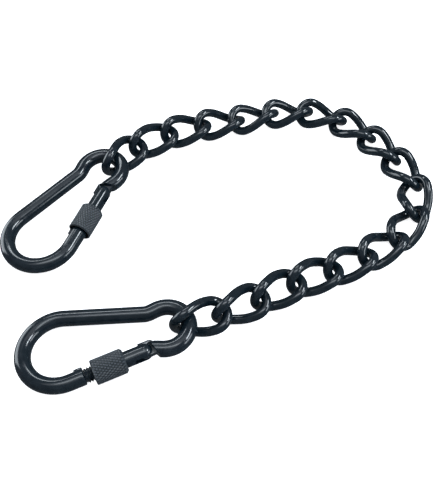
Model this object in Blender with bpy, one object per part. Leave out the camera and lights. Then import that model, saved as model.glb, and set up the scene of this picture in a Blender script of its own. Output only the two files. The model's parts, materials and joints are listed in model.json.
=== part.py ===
# Short chain of twisted links with a screw-lock snap hook at each end.
# It lies on a level floor in an open U, both hooks the same face up.
# Metres, +Z up, the floor at Z = 0.
from math import asin, cos, pi, radians, sin

import bmesh
import bpy
from mathutils import Matrix, Vector

# Links: wire ovals, each twisted about its long axis
LINK_WIRE = 0.0045
LINK_INNER_LENGTH = 0.0197
LINK_ROOM = 0.0014              # how much wider a link is inside than the hooks' rod
LINK_TWIST = radians(86)        # from one end of a link to the other
LINK_SIDE_STEPS = 5
LINK_BOW_STEPS = 8
LINK_PLAY = 0.0008              # between two linked wires, so that the links can swing
RUNNING_GAP = 0.0003

# Snap hooks: one bent rod, from the nose round the big end and the eye
ROD = 0.0072
EYE_RADIUS = 0.0104             # to the middle of the rod
BIG_END_RADIUS = 0.0162
HOOK_CENTRES = 0.0466           # from the eye's centre to the big end's
FLANK_SLOPE = radians(11)       # of the spine and of the gate, to the hook's axis
KINK_REACH = 0.0085             # from the eye's centre to where the flanks end
EYE_WRAP = radians(105)         # the round of the eye, each way from its crown
UPPER_NOSE = 0.0095             # length of the nose, from the big end's tangent
LOWER_NOSE = 0.0066
TAB_LENGTH = 0.0020
TAB_WIDTH = 0.0050
TAB_THICKNESS = 0.0022
HEAD_LENGTH = 0.0038            # the nose's pressed head, which stands out on the inner side
HEAD_REACH = 0.0045
HEAD_THICKNESS = 0.0026

# Gate hinge: a tongue on the hook in a fork on the gate, with a rivet through
PIN_REACH = 0.0106              # from the eye's centre, along the hook's axis
PIN_RADIUS = 0.0010
TONGUE_THICKNESS = 0.0024
TONGUE_RADIUS = 0.0029
TONGUE_ROUND = radians(140)     # how far its round end goes
TONGUE_CREST = 0.0043           # how far the tongue stands out on the inner side
TONGUE_CREST_FRONT = 0.0019
TONGUE_CREST_BACK = 0.0036
TONGUE_ROOT = 0.0065
TONGUE_BACK = 0.0026            # how far the root reaches on the outer side
FORK_DEPTH = 0.0050
SHOULDER_SLANT = radians(16)

# Screw sleeves
SLEEVE_LENGTH = 0.0142
SLEEVE_RADIUS = 0.0056
SLEEVE_RIM = 0.0003             # chamfer round the mouth
SLEEVE_CHAMFER = 0.0010         # chamfer at the hinge's end
MOUTH_RADIUS = 0.0048           # the wide mouth takes the nose's head
MOUTH_DEPTH = 0.0030
LOCKED_OVERLAP = 0.0005         # how far a screwed-down sleeve covers the nose
BACKED_OFF = 0.0039             # how much thread an open sleeve leaves bare

# Lay on the floor, in degrees: which way each link points, from the upper hook to the
# lower, and how far it is rolled over. The links that the hooks hold stand on edge there.
START = Vector((-0.0601, 0.0336, 0.0))
UPPER_HOOK_HEADING = 56
LINK_HEADINGS = (46, 31, 21, 14, 12, 4, -18, -40, -54,
                 -64, -96, -127, -147, -154, -158, -152, -156, -164)
LINK_ROLLS = (52, 37, 20, 5, -7, -11, -9, -7, -9,
              -5, 1, 2, -4, -14, -26, -37, -50, -49)
LOWER_HOOK_HEADING = 12
HOOK_ROLL = radians(-2.2)       # the gate's side is the higher one
UPPER_SLACK = 0.0010            # how far the first link lies back from the upper eye's rod
FLOOR_GAP = 0.0002
ROD_LIFT = 0.0005               # an eye's rod lies this far over the link's lower wire
ROOT_LINK = 10

ROD_SIDES = 16
WIRE_SIDES = 8
SLEEVE_SIDES = 20
RIVET_SIDES = 10
BIG_END_STEPS = 19
EYE_STEPS = 16
KINK_STEPS = 5
GATE_DOME_STEPS = 5
TONGUE_STEPS = 6
SMOOTH_ANGLE = radians(40)
MERGE_DISTANCE = 1e-6

HALF_LINK = (LINK_INNER_LENGTH + LINK_WIRE) / 2
BOW_RADIUS = (ROD + LINK_ROOM + LINK_WIRE) / 2
TO_JOINT = HALF_LINK - (LINK_WIRE + LINK_PLAY) / 2
LINK_PITCH = 2 * TO_JOINT
LINK_COUNT = len(LINK_HEADINGS)
ROD_RADIUS = ROD / 2
ROD_CORNER = ROD_RADIUS / cos(pi / ROD_SIDES)
HELD_REACH = EYE_RADIUS - ROD_RADIUS - LINK_PLAY - LINK_WIRE / 2 + HALF_LINK - TO_JOINT
HELD_HEIGHT = FLOOR_GAP + LINK_WIRE + ROD_LIFT + ROD_RADIUS
SLEEVE_BORE = ROD_RADIUS + RUNNING_GAP
SHOULDER_REACH = ROD_RADIUS + RUNNING_GAP


def link_roll(number):
    return radians(LINK_ROLLS[number - 1])


def link_line():
    """The wire's middle line, about the link's middle, as a closed and twisted loop."""
    bow_centre = HALF_LINK - BOW_RADIUS
    flat = []
    for side in (1, -1):
        for step in range(LINK_SIDE_STEPS):
            x = side * bow_centre * (1 - 2 * step / LINK_SIDE_STEPS)
            flat.append((x, side * BOW_RADIUS))
        for step in range(LINK_BOW_STEPS):
            angle = pi / 2 + pi * step / LINK_BOW_STEPS
            flat.append((side * (BOW_RADIUS * cos(angle) - bow_centre),
                         side * BOW_RADIUS * sin(angle)))
    line = []
    for x, y in flat:
        twist = -LINK_TWIST / 2 * sin(pi / 2 * x / HALF_LINK)
        line.append(Vector((x, y * cos(twist), y * sin(twist))))
    return line


def bow_height(number, end):
    """How high a link's axis is over the floor at its first or last bow."""
    roll = Matrix.Rotation(link_roll(number), 4, "X")
    drop = max(-(roll @ point).z for point in link_line() if point.x * end > 0)
    return LINK_WIRE / 2 + drop + FLOOR_GAP


def joint_height(number):
    """Height of the joint between a link and the next one, or of a hook's end."""
    heights = []
    if number > 0:
        heights.append(bow_height(number, 1))
    if number < LINK_COUNT:
        heights.append(bow_height(number + 1, -1))
    return max(heights)


def flank_line(side, gap_start, gap_end):
    """Points of one flank, between two distances from the big end's tangent."""
    tangent = Vector((-HOOK_CENTRES + BIG_END_RADIUS * sin(FLANK_SLOPE),
                      side * BIG_END_RADIUS * cos(FLANK_SLOPE), 0))
    along = Vector((cos(FLANK_SLOPE), -side * sin(FLANK_SLOPE), 0))
    return tangent + along * gap_start, tangent + along * gap_end


def flank_length():
    tangent_x = -HOOK_CENTRES + BIG_END_RADIUS * sin(FLANK_SLOPE)
    return (-KINK_REACH - tangent_x) / cos(FLANK_SLOPE)


def kink_line(side):
    """The short S from the end of a flank into the round of the eye."""
    start = flank_line(side, 0, flank_length())[1]
    end = Vector((EYE_RADIUS * cos(EYE_WRAP), side * EYE_RADIUS * sin(EYE_WRAP), 0))
    span = (end - start).length
    leave = Vector((cos(FLANK_SLOPE), -side * sin(FLANK_SLOPE), 0)) * span
    arrive = Vector((sin(EYE_WRAP), -side * cos(EYE_WRAP), 0)) * span
    line = []
    for step in range(1, KINK_STEPS):
        t = step / KINK_STEPS
        line.append(start * (2 * t ** 3 - 3 * t ** 2 + 1) + leave * (t ** 3 - 2 * t ** 2 + t)
                    + end * (3 * t ** 2 - 2 * t ** 3) + arrive * (t ** 3 - t ** 2))
    return line


def hook_line(nose_length):
    """The rod's middle line from the nose to the hinge, in the hook's plane."""
    nose, tangent = flank_line(-1, nose_length, 0)
    line = [nose, tangent]
    sweep = 2 * (pi / 2 + FLANK_SLOPE)
    for step in range(1, BIG_END_STEPS + 1):
        angle = -(pi / 2 - FLANK_SLOPE) - sweep * step / BIG_END_STEPS
        line.append(Vector((BIG_END_RADIUS * cos(angle) - HOOK_CENTRES,
                            BIG_END_RADIUS * sin(angle), 0)))
    line.append(flank_line(1, 0, flank_length())[1])
    line += kink_line(1)
    for step in range(EYE_STEPS + 1):
        angle = EYE_WRAP - 2 * EYE_WRAP * step / EYE_STEPS
        line.append(Vector((EYE_RADIUS * cos(angle), EYE_RADIUS * sin(angle), 0)))
    line += reversed(kink_line(-1))
    line.append(flank_line(-1, 0, flank_length())[1])
    return line


def gate_matrix():
    """The gate's frame in the hook's: its origin on the rivet, X to the nose."""
    tangent = flank_line(-1, 0, 0)[0]
    run = (-PIN_REACH - tangent.x) / cos(FLANK_SLOPE)
    pin = flank_line(-1, 0, run)[1]
    return Matrix.Translation(pin) @ Matrix.Rotation(pi + FLANK_SLOPE, 4, "Z"), run


def turn(heading, rise, roll):
    return (Matrix.Rotation(heading, 4, "Z") @ Matrix.Rotation(-rise, 4, "Y")
            @ Matrix.Rotation(roll, 4, "X"))


def hook_matrix(centre, heading, held_angle, nose_length, sleeve_end):
    """Lays a hook down on its big end, its sleeve's rim and the link under its eye."""
    reach = EYE_RADIUS + HOOK_CENTRES + BIG_END_RADIUS
    tilt = turn(heading, asin((HELD_HEIGHT - ROD_RADIUS) / reach), HOOK_ROLL)
    held = tilt @ Vector((EYE_RADIUS * cos(held_angle), EYE_RADIUS * sin(held_angle), 0))
    rim = tilt @ (gate_matrix()[0] @ Vector((sleeve_end, 0, 0)))
    lowest = min((tilt @ point).z for point in hook_line(nose_length))
    height = max(ROD_CORNER - lowest, SLEEVE_RADIUS - rim.z, HELD_HEIGHT - held.z)
    return Matrix.Translation((centre.x, centre.y, height)) @ tilt


def principled(name, colour, roughness, metallic):
    material = bpy.data.materials.new(name)
    material.use_nodes = True
    shader = material.node_tree.nodes["Principled BSDF"]
    shader.inputs["Base Color"].default_value = (*colour, 1)
    shader.inputs["Roughness"].default_value = roughness
    shader.inputs["Metallic"].default_value = metallic
    return material


def add_object(name, mesh, material, matrix):
    part = bpy.data.objects.new(name, mesh)
    bpy.context.collection.objects.link(part)
    if not mesh.materials:
        mesh.materials.append(material)
    mesh.shade_smooth()
    mesh.set_sharp_from_angle(angle=SMOOTH_ANGLE)
    part.matrix_world = matrix
    return part


def swept_mesh(name, line, radius, sides, closed):
    """A round wire along a line, with flat ends unless it is closed.

    An open one is turned half a facet, so that it has flats to its sides.
    """
    curve = bpy.data.curves.new(name, "CURVE")
    curve.dimensions = "3D"
    curve.bevel_depth = radius
    curve.bevel_resolution = sides // 2 - 2
    curve.use_fill_caps = not closed
    spline = curve.splines.new("POLY")
    spline.points.add(len(line) - 1)
    for point, place in zip(spline.points, line):
        point.co = (*place, 1)
        point.tilt = 0.0 if closed else pi / sides
    spline.use_cyclic_u = closed
    guide = bpy.data.objects.new(name, curve)
    bpy.context.collection.objects.link(guide)
    bpy.context.view_layer.update()
    mesh = bpy.data.meshes.new_from_object(guide)
    bpy.data.objects.remove(guide)
    bpy.data.curves.remove(curve)
    shape = bmesh.new()
    shape.from_mesh(mesh)
    bmesh.ops.remove_doubles(shape, verts=shape.verts, dist=MERGE_DISTANCE)
    bmesh.ops.recalc_face_normals(shape, faces=shape.faces)
    shape.to_mesh(mesh)
    shape.free()
    mesh.name = name
    return mesh


def turned_mesh(name, profile, sides, hollow):
    """A profile of (along, radius) pairs turned about X, closed to a ring if hollow."""
    shape = bmesh.new()
    verts = [shape.verts.new((along, radius, 0)) for along, radius in profile]
    edges = [shape.edges.new(pair) for pair in zip(verts, verts[1:])]
    if hollow:
        edges.append(shape.edges.new((verts[-1], verts[0])))
    bmesh.ops.spin(shape, geom=verts + edges, axis=(1, 0, 0), cent=(0, 0, 0),
                   angle=2 * pi, steps=sides, use_merge=True)
    bmesh.ops.remove_doubles(shape, verts=shape.verts, dist=MERGE_DISTANCE)
    bmesh.ops.recalc_face_normals(shape, faces=shape.faces)
    mesh = bpy.data.meshes.new(name)
    shape.to_mesh(mesh)
    shape.free()
    return mesh


def cutter(name, mesh, matrix):
    tool = bpy.data.objects.new(name, mesh)
    bpy.context.collection.objects.link(tool)
    tool.matrix_world = matrix
    tool.hide_render = True
    tool.display_type = "WIRE"
    return tool


def box_mesh(name, low, high):
    shape = bmesh.new()
    bmesh.ops.create_cube(shape, size=1)
    low = Vector(low)
    high = Vector(high)
    bmesh.ops.scale(shape, vec=high - low, verts=shape.verts)
    bmesh.ops.translate(shape, vec=(low + high) / 2, verts=shape.verts)
    mesh = bpy.data.meshes.new(name)
    shape.to_mesh(mesh)
    shape.free()
    return mesh


def pin_mesh(name, radius, half_length):
    shape = bmesh.new()
    bmesh.ops.create_cone(shape, cap_ends=True, segments=RIVET_SIDES, radius1=radius,
                          radius2=radius, depth=2 * half_length)
    mesh = bpy.data.meshes.new(name)
    shape.to_mesh(mesh)
    shape.free()
    return mesh


def tongue_mesh(name):
    """The flat tongue in the gate's frame, rounded about the rivet."""
    outline = [(-TONGUE_ROOT, TONGUE_BACK)]
    for step in range(TONGUE_STEPS + 1):
        angle = pi / 2 - TONGUE_ROUND * step / TONGUE_STEPS
        outline.append((TONGUE_RADIUS * cos(angle), TONGUE_RADIUS * sin(angle)))
    outline += [(TONGUE_CREST_FRONT, -TONGUE_CREST), (-TONGUE_CREST_BACK, -TONGUE_CREST),
                (-TONGUE_ROOT, -TONGUE_RADIUS / 2)]
    shape = bmesh.new()
    half = TONGUE_THICKNESS / 2
    face = shape.faces.new([shape.verts.new((x, y, -half)) for x, y in outline])
    grown = bmesh.ops.extrude_face_region(shape, geom=[face])
    top = [item for item in grown["geom"] if isinstance(item, bmesh.types.BMVert)]
    bmesh.ops.translate(shape, vec=(0, 0, TONGUE_THICKNESS), verts=top)
    bmesh.ops.recalc_face_normals(shape, faces=shape.faces)
    mesh = bpy.data.meshes.new(name)
    shape.to_mesh(mesh)
    shape.free()
    return mesh


def combine(part, tool, operation):
    step = part.modifiers.new(tool.name, "BOOLEAN")
    step.object = tool
    step.operation = operation
    step.solver = "EXACT"


def build_hook(prefix, matrix, nose_length, sleeve_end, coats):
    gate_local, run = gate_matrix()
    gate_place = matrix @ gate_local
    nose_face = run - nose_length
    gate_length = nose_face - RUNNING_GAP
    wide = 2 * ROD

    hook = add_object(prefix + "_hook_body",
                      swept_mesh(prefix + "_rod", hook_line(nose_length), ROD_CORNER, ROD_SIDES,
                                 False),
                      coats["hook"], matrix)
    shoulder = gate_place @ Matrix.Rotation(SHOULDER_SLANT, 4, "Z")
    combine(hook, cutter(prefix + "_shoulder_cut",
                         box_mesh("shoulder", (-SHOULDER_REACH, -wide, -wide),
                                  (wide / 2, wide / 2, wide)), shoulder), "DIFFERENCE")
    combine(hook, cutter(prefix + "_tongue_plate", tongue_mesh("tongue"), gate_place), "UNION")
    tab = box_mesh("tab", (nose_face - TAB_LENGTH, -TAB_WIDTH / 2, -TAB_THICKNESS / 2),
                   (nose_face + ROD_RADIUS, TAB_WIDTH / 2, TAB_THICKNESS / 2))
    combine(hook, cutter(prefix + "_nose_tab", tab, gate_place), "UNION")
    head = box_mesh("head", (nose_face, -HEAD_REACH, -HEAD_THICKNESS / 2),
                    (nose_face + HEAD_LENGTH, 0, HEAD_THICKNESS / 2))
    combine(hook, cutter(prefix + "_nose_head", head, gate_place), "UNION")
    bore = cutter(prefix + "_rivet_bore", pin_mesh("bore", PIN_RADIUS + RUNNING_GAP, ROD), gate_place)
    combine(hook, bore, "DIFFERENCE")

    dome = [pi / 2 * step / GATE_DOME_STEPS for step in range(GATE_DOME_STEPS + 1)]
    gate_profile = [(-ROD_RADIUS * cos(angle), ROD_RADIUS * sin(angle)) for angle in dome]
    gate_profile += [(gate_length, ROD_RADIUS), (gate_length, 0)]
    gate = add_object(prefix + "_gate",
                      turned_mesh(prefix + "_gate", gate_profile, ROD_SIDES, False),
                      coats["hook"], gate_place)
    fork = TONGUE_THICKNESS / 2 + RUNNING_GAP
    combine(gate, cutter(prefix + "_fork_slot",
                         box_mesh("fork", (-wide, -wide, -fork), (FORK_DEPTH, wide, fork)),
                         gate_place), "DIFFERENCE")
    slot = TAB_THICKNESS / 2 + RUNNING_GAP
    slot_floor = nose_face - TAB_LENGTH - 2 * RUNNING_GAP
    combine(gate, cutter(prefix + "_tip_slot",
                         box_mesh("slot", (slot_floor, -wide, -slot), (run, wide, slot)),
                         gate_place), "DIFFERENCE")
    combine(gate, bore, "DIFFERENCE")

    add_object(prefix + "_gate_rivet", pin_mesh(prefix + "_rivet", PIN_RADIUS, ROD_RADIUS),
               coats["hook"], gate_place)

    mouth_floor = SLEEVE_LENGTH - MOUTH_DEPTH
    sleeve_profile = [(0, SLEEVE_BORE), (0, SLEEVE_RADIUS - SLEEVE_CHAMFER),
                      (SLEEVE_CHAMFER, SLEEVE_RADIUS),
                      (SLEEVE_LENGTH - SLEEVE_RIM, SLEEVE_RADIUS),
                      (SLEEVE_LENGTH, SLEEVE_RADIUS - SLEEVE_RIM), (SLEEVE_LENGTH, MOUTH_RADIUS),
                      (mouth_floor, MOUTH_RADIUS), (mouth_floor, SLEEVE_BORE)]
    add_object(prefix + "_lock_sleeve",
               turned_mesh(prefix + "_sleeve", sleeve_profile, SLEEVE_SIDES, True),
               coats["sleeve"], gate_place @ Matrix.Translation((sleeve_end - SLEEVE_LENGTH, 0, 0)))


def chain_plan():
    """Each link's two joints in plan, and then the centre of the lower hook's eye."""
    place = START.copy()
    joints = []
    for number, heading in enumerate(LINK_HEADINGS, 1):
        forward = Vector((cos(radians(heading)), sin(radians(heading)), 0))
        if number == 1:
            place += forward * (HELD_REACH - UPPER_SLACK)
        joints.append((place.copy(), place + forward * LINK_PITCH))
        place = joints[-1][1].copy()
    return joints, place + forward * HELD_REACH


def lay_links(joints, coats):
    mesh = swept_mesh("twisted_link", link_line(), LINK_WIRE / 2, WIRE_SIDES, True)
    mesh.transform(Matrix.Translation((TO_JOINT, 0, 0)))
    for number, (begin, end) in enumerate(joints, 1):
        begin.z = joint_height(number - 1)
        end.z = joint_height(number)
        rise = asin((end.z - begin.z) / LINK_PITCH)
        facing = radians(LINK_HEADINGS[number - 1])
        if number < ROOT_LINK:
            pose = Matrix.Translation(end) @ turn(facing + pi, -rise, -link_roll(number))
        else:
            pose = Matrix.Translation(begin) @ turn(facing, rise, link_roll(number))
        add_object("link_%02d" % number, mesh, coats["link"], pose)


def build():
    for old in list(bpy.data.objects):
        bpy.data.objects.remove(old)
    coats = {"link": principled("black_coat_chain", (0.012, 0.020, 0.026), 0.32, 0.6),
             "hook": principled("black_coat_hook", (0.012, 0.020, 0.026), 0.30, 0.6),
             "sleeve": principled("black_coat_knurl", (0.035, 0.045, 0.052), 0.45, 0.6)}
    tangent_run = gate_matrix()[1]
    locked = tangent_run - UPPER_NOSE + LOCKED_OVERLAP
    backed_off = tangent_run - LOWER_NOSE - BACKED_OFF

    upper_angle = radians(LINK_HEADINGS[0] - UPPER_HOOK_HEADING)
    upper = hook_matrix(START, radians(UPPER_HOOK_HEADING), upper_angle, UPPER_NOSE, locked)
    build_hook("upper", upper, UPPER_NOSE, locked, coats)

    joints, lower_eye = chain_plan()
    lower_angle = radians(LINK_HEADINGS[-1] + 180 - LOWER_HOOK_HEADING)
    lower = hook_matrix(lower_eye, radians(LOWER_HOOK_HEADING), lower_angle, LOWER_NOSE,
                        backed_off)
    build_hook("lower", lower, LOWER_NOSE, backed_off, coats)

    lay_links(joints, coats)


build()
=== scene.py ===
# Short black chain of twisted links with a screw-lock snap hook at each end.
import json
from math import cos, pi, radians, sin

import bmesh
import bpy
import numpy as np
from mathutils import Matrix, Vector

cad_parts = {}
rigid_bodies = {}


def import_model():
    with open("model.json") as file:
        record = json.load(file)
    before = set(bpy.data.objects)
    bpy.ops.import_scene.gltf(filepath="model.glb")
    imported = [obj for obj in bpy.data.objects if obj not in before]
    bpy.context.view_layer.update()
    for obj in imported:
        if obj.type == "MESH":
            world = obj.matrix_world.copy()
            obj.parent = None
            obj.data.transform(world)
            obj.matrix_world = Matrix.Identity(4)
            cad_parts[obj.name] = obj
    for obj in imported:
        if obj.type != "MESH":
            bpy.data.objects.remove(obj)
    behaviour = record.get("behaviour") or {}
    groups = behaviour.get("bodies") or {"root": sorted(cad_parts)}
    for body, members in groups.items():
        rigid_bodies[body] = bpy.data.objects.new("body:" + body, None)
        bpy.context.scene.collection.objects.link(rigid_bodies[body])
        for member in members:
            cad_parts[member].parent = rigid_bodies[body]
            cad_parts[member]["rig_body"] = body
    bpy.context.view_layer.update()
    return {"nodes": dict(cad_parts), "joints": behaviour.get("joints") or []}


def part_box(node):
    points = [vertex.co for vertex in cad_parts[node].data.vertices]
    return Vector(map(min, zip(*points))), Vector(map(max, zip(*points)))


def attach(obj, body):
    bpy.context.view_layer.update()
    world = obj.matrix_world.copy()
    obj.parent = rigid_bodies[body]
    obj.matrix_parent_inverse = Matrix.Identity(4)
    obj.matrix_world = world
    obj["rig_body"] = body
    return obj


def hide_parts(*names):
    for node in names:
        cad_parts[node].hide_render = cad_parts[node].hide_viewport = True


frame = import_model()
joints = {joint["name"]: joint for joint in frame["joints"]}
print("frame loaded:", len(frame["nodes"]), "nodes")

# studio
studio = {
    "cameraPlace": (-0.0012, -0.1992, 0.2765),
    "lookDown": radians(55.3),      # below level, along +Y
    "lens": 50.45,                  # mm, for a 36 mm sensor along the picture's height
    "floorRadius": 4.0,
    "floorColour": (0.86, 0.865, 0.87),
    "floorRoughness": 0.9,
    "floorGlow": 0.86,
    "tint": (0.92, 1.0, 1.07),      # of every lamp
    "lights": {                     # place, width, depth, watts
        "overhead box": ((-0.05, -0.10, 0.80), 0.80, 0.70, 1.6),
        "overhead strip": ((-0.05, -0.17, 0.79), 0.60, 0.17, 1.4),
        "left panel": ((-0.80, 0.36, 0.16), 0.62, 0.62, 5.5),
        "back strip": ((-0.24, 0.58, 0.64), 0.42, 0.11, 1.5),
        "right strip": ((0.52, 0.03, 0.68), 0.40, 0.13, 4.2),
        "right fill": ((0.74, -0.25, 0.36), 0.50, 0.26, 2.6),
    },
    "skyLow": (0.133, 0.14, 0.147),
    "skyHigh": (0.2418, 0.26, 0.2782),
    "skyBand": (0.0, 0.6),          # from the horizon up
}


def addCamera():
    camera = bpy.data.cameras.new("camera")
    camera.sensor_width = 36
    camera.lens = studio["lens"]
    camera.clip_start = 0.01
    camera.clip_end = 20
    holder = bpy.data.objects.new("camera", camera)
    holder.location = studio["cameraPlace"]
    holder.rotation_euler = (pi / 2 - studio["lookDown"], 0, 0)
    bpy.context.scene.collection.objects.link(holder)
    bpy.context.scene.camera = holder


def addFloor():
    bm = bmesh.new()
    bmesh.ops.create_circle(bm, cap_ends=True, segments=96, radius=studio["floorRadius"])
    mesh = bpy.data.meshes.new("floor")
    bm.to_mesh(mesh)
    bm.free()
    floor = bpy.data.objects.new("floor", mesh)
    bpy.context.scene.collection.objects.link(floor)
    floor.visible_glossy = False        # dark coats keep their dark sides
    paper = bpy.data.materials.new("pale paper")
    paper.use_nodes = True
    shader = paper.node_tree.nodes["Principled BSDF"]
    shader.inputs["Base Color"].default_value = (*studio["floorColour"], 1)
    shader.inputs["Roughness"].default_value = studio["floorRoughness"]
    shader.inputs["Emission Color"].default_value = (1, 1, 1, 1)
    shader.inputs["Emission Strength"].default_value = studio["floorGlow"]
    mesh.materials.append(paper)


def addLight(name):
    # an area lamp that faces the chain
    place, width, depth, watts = studio["lights"][name]
    light = bpy.data.lights.new(name, "AREA")
    light.shape = "RECTANGLE"
    light.size = width
    light.size_y = depth
    light.energy = watts
    light.color = studio["tint"]
    lamp = bpy.data.objects.new(name, light)
    lamp.location = place
    lamp.rotation_euler = (-Vector(place)).to_track_quat("-Z", "Y").to_euler()
    bpy.context.scene.collection.objects.link(lamp)


def colourMix(nodes, links, share, band, low, high):
    # from the low to the high colour across the band
    ramp = nodes.new("ShaderNodeValToRGB")
    for element, position, colour in zip(ramp.color_ramp.elements, band, (low, high)):
        element.position = position
        element.color = (*colour, 1)
    links.new(share, ramp.inputs["Fac"])
    return ramp.outputs["Color"]


def addSky():
    world = bpy.data.worlds.new("studio sky")
    world.use_nodes = True
    nodes = world.node_tree.nodes
    links = world.node_tree.links
    place = nodes.new("ShaderNodeTexCoord")
    split = nodes.new("ShaderNodeSeparateXYZ")
    links.new(place.outputs["Generated"], split.inputs["Vector"])
    shade = colourMix(nodes, links, split.outputs["Z"], studio["skyBand"],
                      studio["skyLow"], studio["skyHigh"])
    links.new(shade, nodes["Background"].inputs["Color"])
    bpy.context.scene.world = world


addCamera()
addFloor()
for name in studio["lights"]:
    addLight(name)
addSky()
bpy.context.scene.view_settings.view_transform = "Standard"
print("studio ready")

# coats
coat = {
    "dark": (0.0030, 0.0074, 0.0116),
    "light": (0.0075, 0.0130, 0.0180),
    "colourBand": (0.35, 0.65),     # of the clouds
    "roughBand": (0.3, 0.7),
    "cloudScale": 260.0,
    "cloudDetail": 4,
    "grainScale": 2400.0,
    "grainDetail": 2,
    "grainHeight": 0.000006,
    "grainStrength": 0.6,
}
# painted highlight: the lighter crest colour stands partly for rubbed wear and partly for light
# catching the knurl's crests
knurlWearAndHighlight = {
    "groove": (0.004, 0.007, 0.010),
    "crest": (0.070, 0.086, 0.102),
    "band": (0.15, 0.95),           # of the crest value
}
roughness = {                       # smoothest, roughest
    "chain": (0.06, 0.11),
    "hook": (0.12, 0.19),
    "rivet": (0.14, 0.22),
    "sleeve": (0.34, 0.46),
}


def newMaterial(name):
    material = bpy.data.materials.new(name)
    material.use_nodes = True
    tree = material.node_tree
    return material, tree.nodes, tree.links, tree.nodes["Principled BSDF"]


def cloudNoise(nodes, links, scale, detail):
    place = nodes.new("ShaderNodeTexCoord")
    noise = nodes.new("ShaderNodeTexNoise")
    noise.inputs["Scale"].default_value = scale
    noise.inputs["Detail"].default_value = detail
    links.new(place.outputs["Object"], noise.inputs["Vector"])
    return noise.outputs["Fac"]


def roughen(nodes, links, share, shader, name):
    # clouds of rougher coat
    spread = nodes.new("ShaderNodeMapRange")
    spread.inputs["From Min"].default_value = coat["roughBand"][0]
    spread.inputs["From Max"].default_value = coat["roughBand"][1]
    spread.inputs["To Min"].default_value = roughness[name][0]
    spread.inputs["To Max"].default_value = roughness[name][1]
    links.new(share, spread.inputs["Value"])
    links.new(spread.outputs["Result"], shader.inputs["Roughness"])


def satinCoat(name, title):
    # blackened steel under a thin satin lacquer
    material, nodes, links, shader = newMaterial(title)
    clouds = cloudNoise(nodes, links, coat["cloudScale"], coat["cloudDetail"])
    colour = colourMix(nodes, links, clouds, coat["colourBand"], coat["dark"], coat["light"])
    links.new(colour, shader.inputs["Base Color"])
    roughen(nodes, links, clouds, shader, name)
    grain = cloudNoise(nodes, links, coat["grainScale"], coat["grainDetail"])
    bump = nodes.new("ShaderNodeBump")
    bump.inputs["Strength"].default_value = coat["grainStrength"]
    bump.inputs["Distance"].default_value = coat["grainHeight"]
    links.new(grain, bump.inputs["Height"])
    links.new(bump.outputs["Normal"], shader.inputs["Normal"])
    return material


def sleeveCoatWithHighlight(name, title):
    # the knurl's crests are lighter than its grooves: partly rubbed wear, partly a painted
    # highlight along the crests
    material, nodes, links, shader = newMaterial(title)
    crest = nodes.new("ShaderNodeAttribute")
    crest.attribute_name = "crest"
    colour = colourMix(nodes, links, crest.outputs["Fac"], knurlWearAndHighlight["band"],
                       knurlWearAndHighlight["groove"], knurlWearAndHighlight["crest"])
    links.new(colour, shader.inputs["Base Color"])
    clouds = cloudNoise(nodes, links, coat["cloudScale"], coat["cloudDetail"])
    roughen(nodes, links, clouds, shader, name)
    return material


chainCoat = satinCoat("chain", "black chain coat")
hookCoat = satinCoat("hook", "black hook coat")
rivetCoat = satinCoat("rivet", "rivet coat")
sleeveWearAndHighlight = sleeveCoatWithHighlight("sleeve", "knurled sleeve coat with painted crest highlight")
print("coats ready")


# shared shape tools
shapeRules = {
    "mergeGap": 1e-6,
    "cutGap": 1e-7,
    "sharpAngle": radians(38),
}


def lineFrames(points, normals, closed):
    # a frame at each point, Z along the line and X towards the normal
    frames = []
    last = len(points) - 1
    for step, (point, normal) in enumerate(zip(points, normals)):
        before = points[step - 1] if closed or step > 0 else point
        after = points[(step + 1) % len(points)] if closed or step < last else point
        along = (after - before).normalized()
        side = (normal - along * normal.dot(along)).normalized()
        basis = Matrix((side, along.cross(side), along)).transposed().to_4x4()
        frames.append(Matrix.Translation(point) @ basis)
    return frames


def sweepRing(bm, frames, radii, sides, closed):
    # one ring, extruded from frame to frame
    ring = bmesh.ops.create_circle(bm, segments=sides, radius=1,
                                   matrix=frames[0] @ Matrix.Diagonal((radii[0], radii[0], 1, 1)))
    edges = list({edge for vert in ring["verts"] for edge in vert.link_edges})
    first = edges
    for step in range(1, len(frames)):
        grown = bmesh.ops.extrude_edge_only(bm, edges=edges)["geom"]
        verts = {item for item in grown if isinstance(item, bmesh.types.BMVert)}
        edges = [item for item in grown if isinstance(item, bmesh.types.BMEdge)
                 and item.verts[0] in verts and item.verts[1] in verts]
        before = frames[step - 1] @ Matrix.Diagonal((radii[step - 1], radii[step - 1], 1, 1))
        after = frames[step] @ Matrix.Diagonal((radii[step], radii[step], 1, 1))
        bmesh.ops.transform(bm, matrix=after @ before.inverted(), verts=list(verts))
    if closed:
        bmesh.ops.bridge_loops(bm, edges=first + edges)
    else:
        bmesh.ops.edgeloop_fill(bm, edges=first)
        bmesh.ops.edgeloop_fill(bm, edges=edges)


def turnedShape(bm, profile, steps, hollow):
    # a profile of (along, radius) pairs turned about X
    verts = [bm.verts.new((along, radius, 0)) for along, radius in profile]
    edges = [bm.edges.new(pair) for pair in zip(verts, verts[1:])]
    if hollow:
        edges.append(bm.edges.new((verts[-1], verts[0])))
    bmesh.ops.spin(bm, geom=verts + edges, axis=(1, 0, 0), cent=(0, 0, 0),
                   angle=2 * pi, steps=steps, use_merge=True)
    bmesh.ops.remove_doubles(bm, verts=bm.verts, dist=shapeRules["mergeGap"])


def roundedBlock(bm, low, high, edge, segments):
    # a box from corner to corner with eased edges
    low, high = Vector(low), Vector(high)
    bmesh.ops.create_cube(bm, size=1)
    bmesh.ops.scale(bm, vec=high - low, verts=bm.verts)
    bmesh.ops.translate(bm, vec=(low + high) / 2, verts=bm.verts)
    bmesh.ops.bevel(bm, geom=bm.edges, offset=edge, segments=segments, profile=0.5,
                    affect="EDGES", material=-1, clamp_overlap=True)


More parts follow.
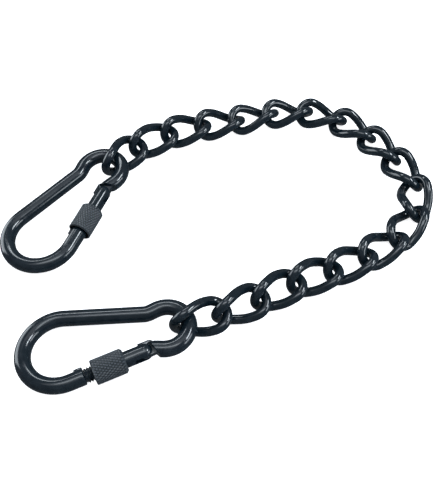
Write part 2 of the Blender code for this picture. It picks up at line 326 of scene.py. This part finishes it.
def shapeObject(bm, name, pose):
    # closes the bmesh into an object whose points are already placed
    bmesh.ops.recalc_face_normals(bm, faces=bm.faces)
    bmesh.ops.transform(bm, matrix=pose, verts=bm.verts)
    mesh = bpy.data.meshes.new(name)
    bm.to_mesh(mesh)
    bm.free()
    shape = bpy.data.objects.new(name, mesh)
    bpy.context.scene.collection.objects.link(shape)
    return shape


def carve(shape, tool, operation):
    # applies one Boolean and drops the tool
    step = shape.modifiers.new("carve", "BOOLEAN")
    step.object = tool
    step.operation = operation
    step.solver = "EXACT"
    bpy.context.view_layer.update()
    settled = shape.evaluated_get(bpy.context.evaluated_depsgraph_get())
    mesh = bpy.data.meshes.new_from_object(settled)
    shape.modifiers.clear()
    shape.data = mesh
    bpy.data.objects.remove(tool)


def easeEdges(shape, width, segments, angle):
    # breaks the sharp edges, as a coat does
    bm = bmesh.new()
    bm.from_mesh(shape.data)
    bmesh.ops.remove_doubles(bm, verts=bm.verts, dist=width / 4)
    bmesh.ops.dissolve_degenerate(bm, dist=width / 8, edges=bm.edges)
    sharp = [edge for edge in bm.edges if edge.is_manifold and edge.calc_face_angle() > angle]
    bmesh.ops.bevel(bm, geom=sharp, offset=width, segments=segments, profile=0.5,
                    affect="EDGES", material=-1, clamp_overlap=True)
    bm.to_mesh(shape.data)
    bm.free()


def dress(shape, node, material):
    # shades the piece and lets it stand for its solid
    shape.data.materials.clear()
    shape.data.materials.append(material)
    shape.data.shade_smooth()
    shape.data.set_sharp_from_angle(angle=shapeRules["sharpAngle"])
    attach(shape, frame["nodes"][node]["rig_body"])
    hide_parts(node)


# twisted links
link = {
    "wire": 0.00444,
    "innerLength": 0.0197,
    "bowRadius": 0.00655,       # to the middle of the wire
    "twist": radians(86),       # from one end to the other
    "sides": 24,
    "sideSteps": 26,
    "bowSteps": 22,
    "seamWidth": 0.00026,
    "seamDepth": 0.00028,
}


def nodePoints(node):
    places = np.array([vert.co for vert in frame["nodes"][node].data.vertices])
    return np.unique(np.round(places, 6), axis=0)


def linkPose(node):
    # a link's own axes, read from its solid: X is the longest, Z the shortest
    places = nodePoints(node)
    centre = places.mean(axis=0)
    axes = np.linalg.eigh(np.cov((places - centre).T))[1]
    along, across = Vector(axes[:, 2]), Vector(axes[:, 1])
    up = along.cross(across)
    if up.z < 0:
        across, up = -across, -up
    basis = Matrix((along, across, up)).transposed().to_4x4()
    return Matrix.Translation(Vector(centre)) @ basis


def linkRings():
    # the wire's middle line from the butt seam round to it again
    bowRadius = link["bowRadius"]
    halfLength = (link["innerLength"] + link["wire"]) / 2
    bowCentre = halfLength - bowRadius
    half = link["wire"] / 2
    seam = link["seamWidth"]
    flat = [(0.0, -bowRadius, half - link["seamDepth"]), (seam / 2, -bowRadius, half),
            (2 * seam, -bowRadius, half)]
    steps = link["sideSteps"]
    flat += [(bowCentre * step / (steps / 2), -bowRadius, half) for step in range(1, steps // 2)]
    for step in range(link["bowSteps"]):
        angle = -pi / 2 + pi * step / link["bowSteps"]
        flat.append((bowCentre + bowRadius * cos(angle), bowRadius * sin(angle), half))
    flat += [(bowCentre * (1 - 2 * step / steps), bowRadius, half) for step in range(steps)]
    for step in range(link["bowSteps"]):
        angle = pi / 2 + pi * step / link["bowSteps"]
        flat.append((-bowCentre + bowRadius * cos(angle), bowRadius * sin(angle), half))
    flat += [(-bowCentre * (1 - step / (steps / 2)), -bowRadius, half)
             for step in range(steps // 2)]
    flat += [(-2 * seam, -bowRadius, half), (-seam / 2, -bowRadius, half)]
    points, normals, radii = [], [], []
    for x, y, radius in flat:
        twist = -link["twist"] / 2 * sin(pi / 2 * x / halfLength)
        points.append(Vector((x, y * cos(twist), y * sin(twist))))
        normals.append(Vector((0, -sin(twist), cos(twist))))
        radii.append(radius)
    return points, normals, radii


def makeLinks():
    points, normals, radii = linkRings()
    frames = lineFrames(points, normals, True)
    for node in sorted(name for name in frame["nodes"] if name.startswith("link_")):
        bm = bmesh.new()
        sweepRing(bm, frames, radii, link["sides"], True)
        piece = shapeObject(bm, "twisted_" + node, linkPose(node))
        dress(piece, node, chainCoat)


makeLinks()
print("links done")

# snap hooks
hook = {
    "rod": 0.0072,
    "eyeRadius": 0.0104,            # to the middle of the rod
    "bigEndRadius": 0.0162,
    "centres": 0.0466,              # from the eye's centre to the big end's
    "slope": radians(11),           # of the spine and of the gate
    "kinkReach": 0.0085,
    "eyeWrap": radians(105),
    "nose": {"upper": 0.0095, "lower": 0.0066},      # from the big end's tangent
    "tab": (0.0020, 0.0050, 0.0022),
    "head": (0.0038, 0.0045, 0.0026),
    "pinReach": 0.0106,
    "gap": 0.0003,
    "slant": radians(16),           # of the face behind the tongue
    "sides": 48,
    "flankSteps": 14,
    "bigEndSteps": 64,
    "eyeSteps": 56,
    "kinkSteps": 12,
    "noseSteps": 6,
    "noseChamfer": 0.0003,
    "noseLead": 0.3,                # where the chamfer ends, in steps of the nose
    "tabEdge": 0.0003,
    "headEdge": 0.0006,
    "hingeRegion": -0.020,          # only the rod past this X is cut for the hinge
    "softEdge": 0.00018,
    "softAngle": radians(35),
}
rodRadius = hook["rod"] / 2


def hookPose(side):
    # the eye's centre, the hook's plane and the gate's run, from the record's joints
    eye = joints[side + "_eye_swing"]
    normal = Vector(eye["axis"])
    if normal.z < 0:
        normal = -normal
    run = Vector(joints[side + "_sleeve_screw"]["axis"])
    sleeveLow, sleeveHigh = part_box(side + "_lock_sleeve")
    rivetLow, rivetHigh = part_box(side + "_gate_rivet")
    if run.dot(sleeveLow + sleeveHigh - rivetLow - rivetHigh) < 0:
        run = -run
    along = Matrix.Rotation(-pi - hook["slope"], 3, normal) @ run
    along = (along - normal * along.dot(normal)).normalized()
    basis = Matrix((along, normal.cross(along), normal)).transposed().to_4x4()
    return Matrix.Translation(Vector(eye["pos_m"])) @ basis


def flankPoint(side, run):
    # a point on the spine (side 1) or on the gate's line (side -1), from the big end
    slope = hook["slope"]
    tangent = Vector((-hook["centres"] + hook["bigEndRadius"] * sin(slope),
                      side * hook["bigEndRadius"] * cos(slope), 0))
    return tangent + Vector((cos(slope), -side * sin(slope), 0)) * run


def flankRun():
    return (hook["centres"] - hook["kinkReach"]
            - hook["bigEndRadius"] * sin(hook["slope"])) / cos(hook["slope"])


def kinkPoints(side):
    # the short S from a flank into the round of the eye
    start = flankPoint(side, flankRun())
    wrap = hook["eyeWrap"]
    end = Vector((cos(wrap), side * sin(wrap), 0)) * hook["eyeRadius"]
    span = (end - start).length
    leave = Vector((cos(hook["slope"]), -side * sin(hook["slope"]), 0)) * span
    arrive = Vector((sin(wrap), -side * cos(wrap), 0)) * span
    points = []
    for step in range(1, hook["kinkSteps"]):
        t = step / hook["kinkSteps"]
        points.append(start * (2 * t ** 3 - 3 * t ** 2 + 1) + leave * (t ** 3 - 2 * t ** 2 + t)
                      + end * (3 * t ** 2 - 2 * t ** 3) + arrive * (t ** 3 - t ** 2))
    return points


def rodPoints(side):
    # from the nose round the big end, up the spine and round the eye to the hinge
    slope, wrap = hook["slope"], hook["eyeWrap"]
    points = [flankPoint(-1, hook["nose"][side] * (1 - step / hook["noseSteps"]))
              for step in range(hook["noseSteps"])]
    for step in range(hook["bigEndSteps"] + 1):
        angle = slope - pi / 2 - (pi + 2 * slope) * step / hook["bigEndSteps"]
        points.append(Vector((cos(angle), sin(angle), 0)) * hook["bigEndRadius"]
                      - Vector((hook["centres"], 0, 0)))
    run = flankRun()
    points += [flankPoint(1, run * step / hook["flankSteps"])
               for step in range(1, hook["flankSteps"] + 1)]
    points += kinkPoints(1)
    for step in range(hook["eyeSteps"] + 1):
        angle = wrap * (1 - 2 * step / hook["eyeSteps"])
        points.append(Vector((cos(angle), sin(angle), 0)) * hook["eyeRadius"])
    points += reversed(kinkPoints(-1))
    points.append(flankPoint(-1, run))
    return points


def gateRun():
    # how far the rivet is from the big end, along the gate
    return (-hook["pinReach"] - flankPoint(-1, 0).x) / cos(hook["slope"])


def gatePose(pose):
    # the gate's own frame: its origin on the rivet, X to the nose
    return (pose @ Matrix.Translation(flankPoint(-1, gateRun()))
            @ Matrix.Rotation(pi + hook["slope"], 4, "Z"))


tongue = {
    "thickness": 0.0024,
    "radius": 0.0029,
    "round": radians(140),
    "roundSteps": 16,
    "crest": 0.0043,
    "crestFront": 0.0019,
    "crestBack": 0.0036,
    "root": 0.0065,
    "back": 0.0026,
}


def makeTongue(pose):
    # the flat hinge tongue, in the gate's frame
    bm = bmesh.new()
    outline = [(-tongue["root"], tongue["back"])]
    for step in range(tongue["roundSteps"] + 1):
        angle = pi / 2 - tongue["round"] * step / tongue["roundSteps"]
        outline.append((tongue["radius"] * cos(angle), tongue["radius"] * sin(angle)))
    outline += [(tongue["crestFront"], -tongue["crest"]),
                (-tongue["crestBack"], -tongue["crest"]),
                (-tongue["root"], -tongue["radius"] / 2)]
    low = -tongue["thickness"] / 2
    face = bm.faces.new([bm.verts.new((x, y, low)) for x, y in outline])
    grown = bmesh.ops.extrude_face_region(bm, geom=[face])["geom"]
    top = [item for item in grown if isinstance(item, bmesh.types.BMVert)]
    bmesh.ops.translate(bm, vec=(0, 0, tongue["thickness"]), verts=top)
    return shapeObject(bm, "tongue", pose)


def makeHookBody(side, pose):
    # the bent rod, cut for the hinge, then its tongue, nose tab and nose head
    run = gateRun()
    noseFace = run - hook["nose"][side]
    points = rodPoints(side)
    radii = [rodRadius - hook["noseChamfer"]] + [rodRadius] * (len(points) - 1)
    points.insert(1, points[0].lerp(points[1], hook["noseLead"]))
    radii.insert(1, rodRadius)
    bm = bmesh.new()
    frames = lineFrames(points, [Vector((0, 0, 1))] * len(points), False)
    sweepRing(bm, frames, radii, hook["sides"], False)
    hinge = gatePose(Matrix.Identity(4))
    shoulder = hinge @ Matrix.Rotation(hook["slant"], 4, "Z")
    reach = rodRadius + hook["gap"]
    near = [face for face in bm.faces if face.calc_center_median().x > hook["hingeRegion"]
            and face.calc_center_median().y < 0]
    geom = list({item for face in near for item in (face, *face.edges, *face.verts)})
    bmesh.ops.bisect_plane(bm, geom=geom, dist=shapeRules["cutGap"], clear_outer=True,
                           plane_co=shoulder @ Vector((-reach, 0, 0)),
                           plane_no=shoulder.to_3x3() @ Vector((1, 0, 0)))
    rim = [edge for edge in bm.edges if edge.is_boundary]
    bmesh.ops.edgeloop_fill(bm, edges=rim)
    body = shapeObject(bm, side + "_hook_rod", Matrix.Identity(4))
    carve(body, makeTongue(hinge), "UNION")

    length, width, thickness = hook["tab"]
    block = bmesh.new()
    roundedBlock(block, (noseFace - length, -width / 2, -thickness / 2),
                 (noseFace + rodRadius, width / 2, thickness / 2), hook["tabEdge"], 2)
    carve(body, shapeObject(block, "tab", hinge), "UNION")
    length, rise, thickness = hook["head"]
    block = bmesh.new()
    roundedBlock(block, (noseFace, -rise, -thickness / 2),
                 (noseFace + length, 0, thickness / 2), hook["headEdge"], 3)
    carve(body, shapeObject(block, "head", hinge), "UNION")
    easeEdges(body, hook["softEdge"], 2, hook["softAngle"])
    body.data.transform(pose)
    dress(body, side + "_hook_body", hookCoat)


gate = {
    "steps": 64,
    "domeSteps": 16,
    "shankSteps": 8,
    "forkDepth": 0.0050,
    "slotEdge": 0.0001,
    "threadPitch": 0.0012,
    "threadSteps": 12,              # to one turn
    "threadTop": 0.00340,
    "threadDepth": 0.00070,
    "threadRun": 0.0100,
    "threadShape": 0.8,             # below 1, the grooves are wider than the crests
    "endChamfer": 0.0004,
    "softAngle": radians(60),
}


def makeGate(side, pose):
    # a turned rod with its thread, then the fork's slot and the slot for the nose tab
    run = gateRun()
    noseFace = run - hook["nose"][side]
    length = noseFace - hook["gap"]
    dome = [pi / 2 * step / gate["domeSteps"] for step in range(gate["domeSteps"] + 1)]
    profile = [(-rodRadius * cos(angle), rodRadius * sin(angle)) for angle in dome]
    threadStart = length - gate["threadRun"]
    profile += [(threadStart * step / gate["shankSteps"], rodRadius)
                for step in range(1, gate["shankSteps"])]
    rings = round(gate["threadRun"] / gate["threadPitch"] * gate["threadSteps"])
    profile += [(threadStart + gate["threadRun"] * step / rings, rodRadius)
                for step in range(rings + 1)]
    profile.append((length, 0))
    bm = bmesh.new()
    turnedShape(bm, profile, gate["steps"], False)
    for vert in bm.verts:
        along = vert.co.x - threadStart
        radius = vert.co.yz.length
        if along < 0 or radius < rodRadius / 2:
            continue
        turn = np.arctan2(vert.co.z, vert.co.y) / (2 * pi)
        phase = 2 * pi * (along / gate["threadPitch"] - turn)
        fade = min(1.0, along / gate["threadPitch"])
        groove = gate["threadDepth"] * (0.5 + 0.5 * cos(phase)) ** gate["threadShape"]
        low = (rodRadius - gate["threadTop"] + groove) * fade
        end = max(0.0, gate["endChamfer"] - (length - vert.co.x))
        vert.co.yz = vert.co.yz * ((rodRadius - max(low, end)) / radius)
    body = shapeObject(bm, side + "_gate_rod", Matrix.Identity(4))
    wide = hook["rod"]
    fork = tongue["thickness"] / 2 + hook["gap"]
    slot = bmesh.new()
    roundedBlock(slot, (-wide, -wide, -fork), (gate["forkDepth"], wide, fork),
                 gate["slotEdge"], 1)
    carve(body, shapeObject(slot, "fork slot", Matrix.Identity(4)), "DIFFERENCE")
    tip = hook["tab"][2] / 2 + hook["gap"]
    slot = bmesh.new()
    roundedBlock(slot, (noseFace - hook["tab"][0] - 2 * hook["gap"], -wide, -tip),
                 (run, wide, tip), gate["slotEdge"], 1)
    carve(body, shapeObject(slot, "tip slot", Matrix.Identity(4)), "DIFFERENCE")
    easeEdges(body, hook["softEdge"] / 2, 1, gate["softAngle"])
    body.data.transform(gatePose(pose))
    dress(body, side + "_gate", hookCoat)


rivet = {
    "radius": 0.0010,
    "faceRadius": 0.0007,
    "edge": 0.0002,
    "steps": 32,
}


def makeRivet(side, pose):
    # a peened pin, flush with the gate at each end
    radius, flat, edge = rivet["radius"], rivet["faceRadius"], rivet["edge"]
    profile = [(-rodRadius, 0), (-rodRadius, flat), (-rodRadius + edge, radius),
               (rodRadius - edge, radius), (rodRadius, flat), (rodRadius, 0)]
    bm = bmesh.new()
    turnedShape(bm, profile, rivet["steps"], False)
    bmesh.ops.rotate(bm, verts=bm.verts, cent=(0, 0, 0), matrix=Matrix.Rotation(pi / 2, 3, "Y"))
    piece = shapeObject(bm, side + "_rivet", gatePose(pose))
    dress(piece, side + "_gate_rivet", rivetCoat)


sleeve = {
    "length": 0.0142,
    "radius": 0.0056,
    "bore": 0.0039,
    "rim": 0.0003,
    "chamfer": 0.0010,
    "mouthRadius": 0.0048,
    "mouthDepth": 0.0030,
    "diamondsRound": 26,
    "diamondLength": 0.0022,
    "knurlDepth": 0.00032,
    "crestWidth": 1.35,             # above 1, the crests are flat on top
    "plainCrest": 0.35,             # the crest value off the knurl, which also sets the painted crest highlight there
    "runOut": 0.0004,               # where the knurl fades at each end
    "outsideSlack": 1e-5,
    "samples": 12,                  # mesh steps round one diamond
}


def makeSleeve(side, pose):
    # a turned tube, its outside pressed into diamonds
    place = gatePose(pose)
    back = place.inverted()
    start = min((back @ Vector(point)).x for point in nodePoints(side + "_lock_sleeve"))
    length, radius = sleeve["length"], sleeve["radius"]
    knurlStart, knurlEnd = sleeve["chamfer"], length - sleeve["rim"]
    rings = round((knurlEnd - knurlStart) / sleeve["diamondLength"] * sleeve["samples"])
    profile = [(0, sleeve["bore"] + sleeve["rim"]), (0, radius - sleeve["chamfer"])]
    profile += [(knurlStart + (knurlEnd - knurlStart) * step / rings, radius)
                for step in range(rings + 1)]
    floor = length - sleeve["mouthDepth"]
    profile += [(length, radius - sleeve["rim"]), (length, sleeve["mouthRadius"]),
                (floor, sleeve["mouthRadius"]), (floor, sleeve["bore"]),
                (sleeve["rim"], sleeve["bore"])]
    bm = bmesh.new()
    turnedShape(bm, profile, sleeve["diamondsRound"] * sleeve["samples"], True)
    # the crest layer shapes the diamonds and also masks the painted highlight on their crests
    crest = bm.verts.layers.float.new("crest")
    for vert in bm.verts:
        along = vert.co.x
        if vert.co.yz.length <= radius - sleeve["outsideSlack"]:
            vert[crest] = sleeve["plainCrest"]
            continue
        turn = np.arctan2(vert.co.z, vert.co.y) / (2 * pi) * sleeve["diamondsRound"]
        step = along / sleeve["diamondLength"]
        left = 1 - abs(2 * ((turn + step) % 1) - 1)
        right = 1 - abs(2 * ((turn - step) % 1) - 1)
        edge = min(1.0, (along - knurlStart) / sleeve["runOut"],
                   (knurlEnd - along) / sleeve["runOut"])
        height = min(left, right)
        vert[crest] = height
        depth = 1 - min(1.0, height * sleeve["crestWidth"])
        sink = sleeve["knurlDepth"] * depth * max(0.0, edge)
        vert.co.yz = vert.co.yz * ((radius - sink) / radius)
    piece = shapeObject(bm, side + "_knurled_sleeve",
                        place @ Matrix.Translation((start, 0, 0)))
    dress(piece, side + "_lock_sleeve", sleeveWearAndHighlight)


for side in ("upper", "lower"):
    sidePose = hookPose(side)
    makeHookBody(side, sidePose)
    makeGate(side, sidePose)
    makeRivet(side, sidePose)
    makeSleeve(side, sidePose)
    print(side, "hook done")
